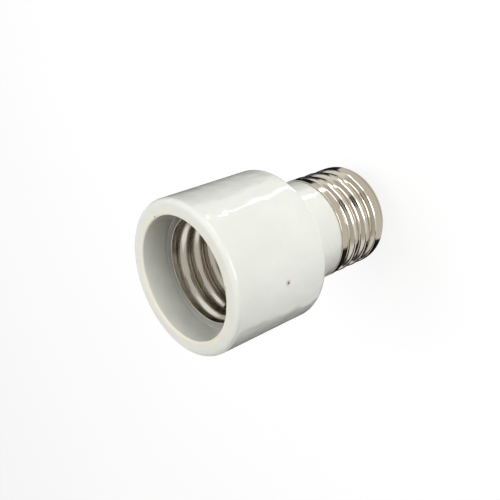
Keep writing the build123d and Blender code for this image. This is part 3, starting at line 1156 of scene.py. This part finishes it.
@dataclass
class ScrewShells:
    """The socket shell in the mouth, with the tongue that grips the lamp, and the cap on the neck."""

    socket: RolledShell = SOCKET_SHELL
    socket_bright: Colour = (0.67, 0.64, 0.58)
    socket_tarnish: Colour = (0.53, 0.475, 0.39)
    cap: RolledShell = CAP_SHELL

    def build(self) -> list[bpy.types.Object]:
        """Rolls and plates both shells.

        Returns:
            The shells.
        """
        roller = RolledShell.roller()
        plating = Plating("socket_plate", self.socket.thread, self.socket_bright, self.socket_tarnish)
        socket = self.socket.build(roller, plating)
        finished(socket, plating, BODY, "nickel", "socket_shell")
        plating = Plating("cap_plate", self.cap.thread)
        cap = self.cap.build(roller, plating)
        finished(cap, plating, BODY, "nickel", "cap_shell")
        return [socket, cap]


@dataclass
class SprungContact:
    """The domed plunger in its turned bush, in the middle of the socket's floor."""

    head_low: float = 57.45
    head_high: float = 58.75
    head_radius: float = 4.8
    head_round: float = 0.25
    dome: float = 0.6
    dome_steps: int = 10
    neck_radius: float = 2.7
    stop: float = 54.05
    shoulder: float = 1.8
    shoulder_radius: float = 3.62
    bush_top: float = 54.9
    bush_bottom: float = 41.5
    bush_floor: float = 43.5
    bush_radius: float = 4.4
    bush_bore: float = 3.7
    bush_round: float = 0.2
    top_round: float = 0.4
    lip_bore: float = 2.78
    lip: float = 0.8
    flange_radius: float = 5.8
    flange_low: float = 52.4
    flange_high: float = 53.6
    rod_hole: float = 1.3
    edge: float = 0.15
    corner: float = 0.1
    around: int = 72

    def build(self) -> list[bpy.types.Object]:
        """Turns both pieces and dresses them.

        Returns:
            The plunger and the bush.
        """
        plunger = turned("contact_button", self._plunger(), self.around)
        finished(plunger, BRASS, PLUNGER, "brass", "contact_plunger")
        bush = turned("contact_guide", self._bush(), self.around)
        finished(bush, BRASS, BODY, "brass", "contact_bush")
        return [plunger, bush]

    def _plunger(self) -> list[Point]:
        """Draws the plunger.

        Returns:
            Its outline, from the top of its dome down and back up the axis.
        """
        dome = [
            (self.head_radius * share, self.head_high + self.dome * (1 - share**2))
            for share in (i / self.dome_steps for i in range(self.dome_steps))
        ]
        low = self.stop - self.shoulder
        return dome + outline(
            (self.head_radius, self.head_high, self.head_round),
            (self.head_radius, self.head_low, self.head_round),
            (self.neck_radius, self.head_low, self.edge),
            (self.neck_radius, self.stop, self.corner),
            (self.shoulder_radius, self.stop, self.edge),
            (self.shoulder_radius, low, self.edge),
            (0.0, low),
        )

    def _bush(self) -> list[Point]:
        """Draws the bush.

        Returns:
            Its outline.
        """
        return outline(
            (self.rod_hole, self.bush_bottom),
            (self.bush_radius, self.bush_bottom, self.bush_round),
            (self.bush_radius, self.flange_low, self.corner),
            (self.flange_radius, self.flange_low, self.corner),
            (self.flange_radius, self.flange_high, self.bush_round),
            (self.bush_radius, self.flange_high, self.corner),
            (self.bush_radius, self.bush_top, self.top_round),
            (self.lip_bore, self.bush_top, self.edge),
            (self.lip_bore, self.bush_top - self.lip, self.corner),
            (self.bush_bore, self.bush_top - self.lip, self.corner),
            (self.bush_bore, self.bush_floor, self.corner),
            (self.rod_hole, self.bush_floor),
        )


@dataclass
class ContactSpring:
    """The coil spring under the plunger, wound by a node tree."""

    seat: float = 43.5
    stop: float = 52.25
    gap: float = 0.05
    wire: float = 0.6
    coil_radius: float = 3.1
    turns: float = 6.5
    travel: float = 2.5
    steps_per_turn: int = 32
    wire_sides: int = 12
    joint: str = "contact_slide"

    SIZES = ("Wire radius", "Coil radius", "Low", "Height")

    def build(self) -> bpy.types.Object:
        """Winds the spring.

        Returns:
            The spring as a plain mesh.
        """
        low = self.seat + self.wire / 2 + self.gap
        high = self.stop - self.wire / 2 - self.gap
        sizes = dict(zip(self.SIZES, (self.wire / 2, self.coil_radius, low, high - low)))
        given = {name: size * MM for name, size in sizes.items()} | {"Turns": self.turns}
        piece = self._winder().grow("contact_coil", given, SPRING_WIRE)
        finished(piece, SPRING_WIRE, BODY, "spring_steel", "contact_spring")
        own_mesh(piece)
        return piece

    def _winder(self) -> GeometryGraph:
        """Writes the tree that winds a wire into a coil, with a named input for each size.

        Returns:
            The tree.
        """
        graph = GeometryGraph("wound_coil", dict.fromkeys((*self.SIZES, "Turns"), "Float"))
        given = graph.given
        coil = graph.node("GeometryNodeCurveSpiral", None, {
            "Resolution": self.steps_per_turn, "Rotations": given["Turns"], "Height": given["Height"],
            "Start Radius": given["Coil radius"], "End Radius": given["Coil radius"], "Reverse": True,
        })
        inputs = {"Geometry": coil.outputs[0], "Offset": graph.combine(z=given["Low"])}
        raised = graph.node("GeometryNodeSetPosition", None, inputs)
        inputs = {"Resolution": self.wire_sides, "Radius": given["Wire radius"]}
        section = graph.node("GeometryNodeCurvePrimitiveCircle", None, inputs)
        inputs = {"Curve": raised.outputs[0], "Profile Curve": section.outputs[0], "Fill Caps": True}
        graph.end(graph.node("GeometryNodeCurveToMesh", None, inputs).outputs[0])
        return graph


@dataclass
class ShellScrews:
    """The slotted screws in the socket's floor, placed round the axis by a node tree."""

    circle: float = 11.0
    count: int = 2
    head_radius: float = 2.75
    head_low: float = 55.5
    head_high: float = 57.4
    head_round: float = 0.6
    head_foot: float = 0.12
    shank_radius: float = 1.5
    end: float = 42.1
    end_chamfer: float = 0.3
    slot_width: float = 0.8
    slot_depth: float = 1.0
    edge: float = 0.08
    edge_angle: float = 50.0
    around: int = 40

    def build(self) -> bpy.types.Object:
        """Makes one screw and sets copies of it round the axis.

        Returns:
            Both screws as one piece.
        """
        screw = turned("screw_pattern", self._outline(), self.around)
        self._cut_slot(screw)
        given = {"Screw": screw, "Count": self.count, "Circle radius": self.circle * MM}
        piece = self._setter().grow("shell_screws", given, ZINC)
        bpy.data.objects.remove(screw)
        round_edges(piece, self.edge, self.edge_angle)
        nodes = [f"shell_screw_{i + 1}" for i in range(self.count)]
        return finished(piece, ZINC, BODY, "plated_steel", *nodes)

    def _outline(self) -> list[Point]:
        """Draws a pan head and a plain shank with a chamfered end.

        Returns:
            Their outline.
        """
        return outline(
            (0.0, self.end),
            (self.shank_radius - self.end_chamfer, self.end),
            (self.shank_radius, self.end + self.end_chamfer),
            (self.shank_radius, self.head_low),
            (self.head_radius, self.head_low, self.head_foot),
            (self.head_radius, self.head_high, self.head_round),
            (0.0, self.head_high),
        )

    def _cut_slot(self, screw: bpy.types.Object) -> None:
        """Cuts the driver slot across a screw's head.

        Args:
            screw: The screw, whose mesh is replaced.
        """
        cutter_mesh = bmesh.new()
        size = Matrix.Diagonal((4 * self.head_radius * MM, self.slot_width * MM, 2 * self.slot_depth * MM, 1))
        place = Matrix.Translation((0, 0, self.head_high * MM))
        bmesh.ops.create_cube(cutter_mesh, size=1.0, matrix=place @ size)
        cutter = piece_from("slot_cutter", cutter_mesh)
        cut = screw.modifiers.new("slot", "BOOLEAN")
        cut.operation = "DIFFERENCE"
        cut.solver = "EXACT"
        cut.object = cutter
        evaluated = screw.evaluated_get(bpy.context.evaluated_depsgraph_get())
        data = bpy.data.meshes.new_from_object(evaluated)
        screw.modifiers.clear()
        screw.data = data
        bpy.data.objects.remove(cutter)

    @staticmethod
    def _setter() -> GeometryGraph:
        """Writes the tree that sets turned copies of a screw on a circle, with named inputs.

        Returns:
            The tree.
        """
        graph = GeometryGraph(
            "screws_on_a_circle", {"Screw": "Object", "Count": "Int", "Circle radius": "Float"},
        )
        count, radius = (Value(graph, graph.given[label]) for label in ("Count", "Circle radius"))
        inputs = {"Count": graph.given["Count"], "Offset": (0, 0, 0)}
        line = graph.node("GeometryNodeMeshLine", {"mode": "OFFSET"}, inputs)
        angle = graph.value(graph.node("GeometryNodeInputIndex")) * math.tau / count
        where = graph.combine(angle.cos() * radius, angle.sin() * radius)
        inputs = {"Geometry": line.outputs[0], "Position": where}
        spread = graph.node("GeometryNodeSetPosition", None, inputs)
        source = graph.node("GeometryNodeObjectInfo", None, {"Object": graph.given["Screw"]})
        copies = graph.node("GeometryNodeInstanceOnPoints", None, {
            "Points": spread.outputs[0], "Instance": source.outputs["Geometry"],
            "Rotation": graph.combine(z=angle),
        })
        graph.end(copies.outputs[0])
        return graph


@dataclass
class CapEnd:
    """The black glass in the end of the cap, and the end contact in its middle."""

    shell: RolledShell = CAP_SHELL
    gap: float = 0.12
    glass_top: float = 11.0
    glass_flat: float = 8.4
    glass_steps: int = 10
    glass_around: int = 120
    tip_plate: float = 1.2
    tip_radius: float = 7.5
    tip_edge: float = 0.75
    tube_radius: float = 2.3
    tube_top: float = 12.2
    rod_hole: float = 1.3
    solder_radius: float = 2.2
    solder_depth: float = 0.6
    edge: float = 0.15

    def build(self) -> list[bpy.types.Object]:
        """Makes both pieces and dresses them.

        Returns:
            The glass and the contact.
        """
        glass = turned("cap_glass", self._glass(), self.glass_around)
        finished(glass, BLACK_GLASS, BODY, "black_glass", "cap_insulator")
        contact = turned("end_plate", self._contact())
        finished(contact, BRASS, BODY, "brass", "tip_contact")
        return [glass, contact]

    def _glass(self) -> list[Point]:
        """Draws the glass.

        Returns:
            Its outline: up its side in the curl, over its top and down its bulging face.
        """
        low, steps = self.shell.bottom, self.glass_steps
        side = [low + (self.glass_top - low) * i / steps for i in range(steps + 1)]
        points = [(self.shell.inside(height, self.gap), height) for height in side]
        foot = points[0]
        points += [
            (self.tube_radius, self.glass_top), (self.tube_radius, self.tip_plate),
            (self.glass_flat, self.tip_plate),
        ]
        for i in range(1, steps):
            angle = math.pi / 2 * i / steps
            points.append((
                self.glass_flat + (foot[0] - self.glass_flat) * math.sin(angle),
                self.tip_plate + (foot[1] - self.tip_plate) * (1 - math.cos(angle)),
            ))
        return points

    def _contact(self) -> list[Point]:
        """Draws the end contact.

        Returns:
            Its outline.
        """
        return outline(
            (self.solder_radius, 0.0),
            (self.tip_radius, 0.0, self.tip_edge),
            (self.tip_radius, self.tip_plate, self.edge),
            (self.tube_radius, self.tip_plate),
            (self.tube_radius, self.tube_top, self.edge),
            (self.rod_hole, self.tube_top),
            (self.rod_hole, self.solder_depth),
            (self.solder_radius, self.solder_depth),
        )


class Inside(Enum):
    """The CAD nodes that stay as they are, with the finish that each one gets."""

    LOCK_WASHERS = (ZINC, ("lock_washer_1", "lock_washer_2"))
    NUTS = (ZINC, ("shell_nut_1", "shell_nut_2", "bush_washer"))
    BRASS_NUT = (BRASS, ("bush_nut",))
    WASHER = (FIBRE, ("contact_washer",))
    COPPER_WORK = (COPPER, ("centre_rod", "shell_lead"))
    SLEEVING = (SLEEVE, ("rod_sleeve",))
    SOLDERED = (SOLDER, ("lead_solder", "tip_solder"))

    def dress(self, nodes: dict[str, bpy.types.Object]) -> None:
        """Puts the finish in the material slots of the nodes.

        Args:
            nodes: The frame's nodes by name.
        """
        finish, names = self.value
        for name in names:
            target = nodes[name]
            if not target.material_slots:
                target.data.materials.append(finish.material())
            for slot in target.material_slots:
                slot.material = finish.material()
            log.info("%s keeps its CAD shape", name)


# Studio

@dataclass(frozen=True)
class View:
    """Where the photograph's camera stands, from the outlines of the rim, shell, shoulder and cap.

    The two vectors are in the camera's own directions: right, down and away from it.
    """

    mouth: tuple[float, float, float] = (-23.203, 10.083, 275.481)
    axis_up: tuple[float, float, float] = (-0.734817, 0.295538, -0.610493)
    roll: float = 83.7
    focal: float = 811.26
    mouth_height: float = 93.0

    def matrix(self) -> Matrix:
        """Places the camera.

        Returns:
            Its matrix in the object's frame.
        """
        up = Vector(self.axis_up).normalized()
        start = Vector((0.0, -1.0, 0.0))
        start = (start - up * start.dot(up)).normalized()
        side = up.cross(start)
        turn = math.radians(self.roll)
        along_x = start * math.cos(turn) + side * math.sin(turn)
        along_y = side * math.cos(turn) - start * math.sin(turn)
        seen = Matrix([self._flip(v) for v in (along_x, along_y, up)]).transposed()
        mouth = self._flip(Vector(self.mouth)) * MM - seen @ Vector((0, 0, self.mouth_height * MM))
        back = seen.transposed()
        return Matrix.Translation(-(back @ mouth)) @ back.to_4x4()

    @staticmethod
    def _flip(v: Vector) -> Vector:
        """Turns right, down and away into the camera's right, up and back."""
        return Vector((v.x, -v.y, -v.z))


@dataclass(frozen=True)
class Panel:
    """A rectangle that faces the object, by its bearing from there. In degrees and metres."""

    name: str
    azimuth: float
    elevation: float
    distance: float
    width: float
    height: float

    def matrix(self, centre: Vector) -> Matrix:
        """Places the panel.

        Args:
            centre: The object's middle.

        Returns:
            The panel's matrix.
        """
        azimuth, elevation = math.radians(self.azimuth), math.radians(self.elevation)
        flat = math.cos(elevation)
        away = Vector((flat * math.cos(azimuth), flat * math.sin(azimuth), math.sin(elevation)))
        facing = away.to_track_quat("Z", "Y").to_matrix().to_4x4()
        return Matrix.Translation(centre + away * self.distance) @ facing


@dataclass(frozen=True)
class Lamp(Panel):
    """A soft area lamp."""

    power: float
    reflected: bool = True


@dataclass(frozen=True)
class Flag(Panel):
    """A standing flag that only reflections see, with its tone from 0 for black."""

    tone: float = 0.01


@dataclass(frozen=True)
class Cloth:
    """A cloth on the floor that only reflections see: part of a ring round the object. Degrees and metres."""

    name: str
    start: float
    end: float
    near: float
    far: float
    tone: float = 0.01


@dataclass
class Studio:
    """Camera, floor, world, soft lamps, flags and cloths."""

    view: View = field(default_factory=View)
    centre: Vector = field(default_factory=lambda: Vector((0.0, 0.0, 0.05)))
    nearest: float = 0.01
    floor_side: float = 6.0
    floor_tone: float = 0.8
    floor_seen_tone: float = 0.22
    floor_glow: float = 0.86
    room_light: float = 0.17
    lamps: tuple[Lamp, ...] = (
        Lamp("overhead", 305.0, 76.0, 0.42, 0.3, 0.3, 1.15, False),
        Lamp("front", 193.0, 6.0, 0.9, 0.6, 0.42, 5.1),
        Lamp("side", 243.0, 8.0, 0.9, 0.5, 0.4, 1.6),
    )
    streak: tuple[float, float, float, float] = (-0.008, -0.041, -0.027, -0.150)
    streak_height: float = 0.002
    streak_width: float = 0.005
    streak_power: float = 0.017
    flags: tuple[Flag, ...] = (
        Flag("flag_front", 214.0, 35.0, 0.4, 0.17, 0.11, 0.0),
        Flag("flag_low", 110.0, 3.0, 0.3, 0.4, 0.1),
        Flag("flag_side", 308.0, 2.0, 0.5, 0.42, 0.1),
        Flag("flag_camera", 200.0, 52.0, 0.5, 1.7, 0.4, 0.6),
        Flag("flag_ceiling", 20.0, 85.0, 0.6, 0.5, 0.5, 0.75),
    )
    cloths: tuple[Cloth, ...] = (
        Cloth("cloth_behind", 284.0, 350.0, 0.009, 0.5),
        Cloth("cloth_far_side", 350.0, 380.0, 0.02, 0.17, 0.2),
        Cloth("cloth_below", 20.0, 95.0, 0.02, 0.17),
        Cloth("cloth_near", 95.0, 138.0, 0.012, 0.07),
        Cloth("cloth_under", 138.0, 284.0, 0.009, 0.075, 0.76),
    )
    cloth_height: float = 0.0004
    cloth_steps: int = 16
    flag_tint: Colour = (1.0, 0.95, 0.89)

    def build(self) -> None:
        """Sets up the whole studio."""
        self._camera()
        self._floor()
        self._world()
        for lamp in self.lamps:
            size = (lamp.width, lamp.height)
            light = self._area(lamp.name, size, lamp.power, lamp.matrix(self.centre))
            light.visible_glossy = lamp.reflected
        self._streak_lamp()
        for flag in self.flags:
            self._flag(flag)
        for cloth in self.cloths:
            self._cloth(cloth)

    def _camera(self) -> None:
        """Sets up the photograph's camera."""
        data = bpy.data.cameras.new("camera")
        data.sensor_width = SENSOR
        data.lens = self.view.focal / IMAGE_SIDE * SENSOR
        data.clip_start = self.nearest
        camera = bpy.data.objects.new("camera", data)
        camera.matrix_world = self.view.matrix()
        bpy.context.scene.collection.objects.link(camera)
        bpy.context.scene.camera = camera

    def _floor(self) -> None:
        """Lays a pale floor that looks white where nothing shades it."""
        floor = piece_from("floor", self._sheet(self.floor_side / 2))
        material, graph = new_material("pale_floor")
        plain, faint = (
            graph.node("ShaderNodeBsdfDiffuse", None, {"Color": (tone, tone, tone, 1.0)})
            for tone in (self.floor_tone, self.floor_seen_tone)
        )
        inputs = {"Color": _rgba(WHITE), "Strength": self.floor_glow}
        white = graph.node("ShaderNodeEmission", None, inputs)
        lifted = graph.node("ShaderNodeAddShader", None, {0: faint.outputs[0], 1: white.outputs[0]})
        inputs = {0: self._seen(graph), 1: plain.outputs[0], 2: lifted.outputs[0]}
        graph.surface(graph.node("ShaderNodeMixShader", None, inputs))
        floor.data.materials.append(material)

    def _world(self) -> None:
        """Sets up an even pale world that is white where it is seen."""
        world = bpy.data.worlds.new("studio")
        bpy.context.scene.world = world
        world.use_nodes = True
        graph = Graph(world.node_tree)
        strength = self.room_light + self._seen(graph) * (1.0 - self.room_light)
        background = graph.node("ShaderNodeBackground", None, {"Color": _rgba(WHITE), "Strength": strength})
        graph.surface(background, "ShaderNodeOutputWorld")

    @staticmethod
    def _seen(graph: Graph) -> Value:
        """Tells what is seen from light on its way.

        Args:
            graph: The tree that asks.

        Returns:
            1 for what the camera, a reflection or a clear piece sees, and 0 for the rest.
        """
        path = graph.node("ShaderNodeLightPath")
        seen = [graph.value(path, f"Is {kind} Ray") for kind in ("Camera", "Glossy", "Transmission")]
        return seen[0].at_least(seen[1]).at_least(seen[2])

    def _streak_lamp(self) -> None:
        """Lays a narrow lamp at floor level, whose reflection is the long highlight on the glaze."""
        x0, y0, x1, y1 = self.streak
        middle = Matrix.Translation(((x0 + x1) / 2, (y0 + y1) / 2, self.streak_height))
        turn = Matrix.Rotation(math.atan2(y1 - y0, x1 - x0), 4, "Z") @ Matrix.Rotation(math.pi, 4, "X")
        size = (math.hypot(x1 - x0, y1 - y0), self.streak_width)
        self._area("streak", size, self.streak_power, middle @ turn)

    @staticmethod
    def _area(name: str, size: tuple[float, float], power: float, place: Matrix) -> bpy.types.Object:
        """Adds a rectangular area lamp that the camera doesn't see.

        Args:
            name: Its name.
            size: Its width and height.
            power: Its power in watts.
            place: Its matrix.

        Returns:
            The lamp.
        """
        data = bpy.data.lights.new(name, "AREA")
        data.shape = "RECTANGLE"
        data.size, data.size_y = size
        data.energy = power
        light = bpy.data.objects.new(name, data)
        light.matrix_world = place
        light.visible_camera = False
        bpy.context.scene.collection.objects.link(light)
        return light

    @staticmethod
    def _sheet(half_side: float) -> bmesh.types.BMesh:
        """Makes a flat square.

        Args:
            half_side: Half of its side.

        Returns:
            The square, round the origin.
        """
        mesh = bmesh.new()
        bmesh.ops.create_grid(mesh, x_segments=1, y_segments=1, size=half_side)
        return mesh

    def _flag(self, flag: Flag) -> None:
        """Adds one standing flag.

        Args:
            flag: The flag.
        """
        mesh = self._sheet(0.5)
        size = Matrix.Diagonal((flag.width, flag.height, 1.0, 1.0))
        bmesh.ops.transform(mesh, matrix=flag.matrix(self.centre) @ size, verts=mesh.verts)
        self._tone(piece_from(flag.name, mesh), flag.tone)

    def _cloth(self, cloth: Cloth) -> None:
        """Adds one cloth on the floor.

        Args:
            cloth: The cloth.
        """
        mesh = bmesh.new()
        rows = []
        for i in range(self.cloth_steps + 1):
            angle = math.radians(cloth.start + (cloth.end - cloth.start) * i / self.cloth_steps)
            x, y = math.cos(angle), math.sin(angle)
            rows.append([mesh.verts.new((r * x, r * y, self.cloth_height)) for r in (cloth.near, cloth.far)])
        for first, second in zip(rows, rows[1:]):
            mesh.faces.new((first[0], first[1], second[1], second[0]))
        self._tone(piece_from(cloth.name, mesh), cloth.tone)

    def _tone(self, piece: bpy.types.Object, tone: float) -> None:
        """Gives a flag or a cloth its tone and leaves it to reflections alone.

        Args:
            piece: The flag or cloth.
            tone: How bright it is, from 0 for black.
        """
        material, graph = new_material(f"{piece.name}_cloth")
        inputs = {"Color": _rgba(self.flag_tint), "Strength": tone}
        graph.surface(graph.node("ShaderNodeEmission", None, inputs))
        piece.data.materials.append(material)
        piece.visible_camera = False
        piece.visible_diffuse = False
        piece.visible_shadow = False


def main() -> None:
    """Loads the frame, builds and dresses every piece, sets up the studio and keeps the sizes."""
    logging.basicConfig(level=logging.INFO, format="%(name)s: %(message)s")
    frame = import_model()
    bpy.context.scene.view_settings.view_transform = "Standard"
    Studio().build()
    builders: tuple[Callable[[], object], ...] = (
        Porcelain().build, ScrewShells().build, SprungContact().build, ContactSpring().build,
        ShellScrews().build, CapEnd().build,
    )
    for build in builders:
        build()
    for group in Inside:
        group.dress(frame["nodes"])


if __name__ == "__main__":
    main()
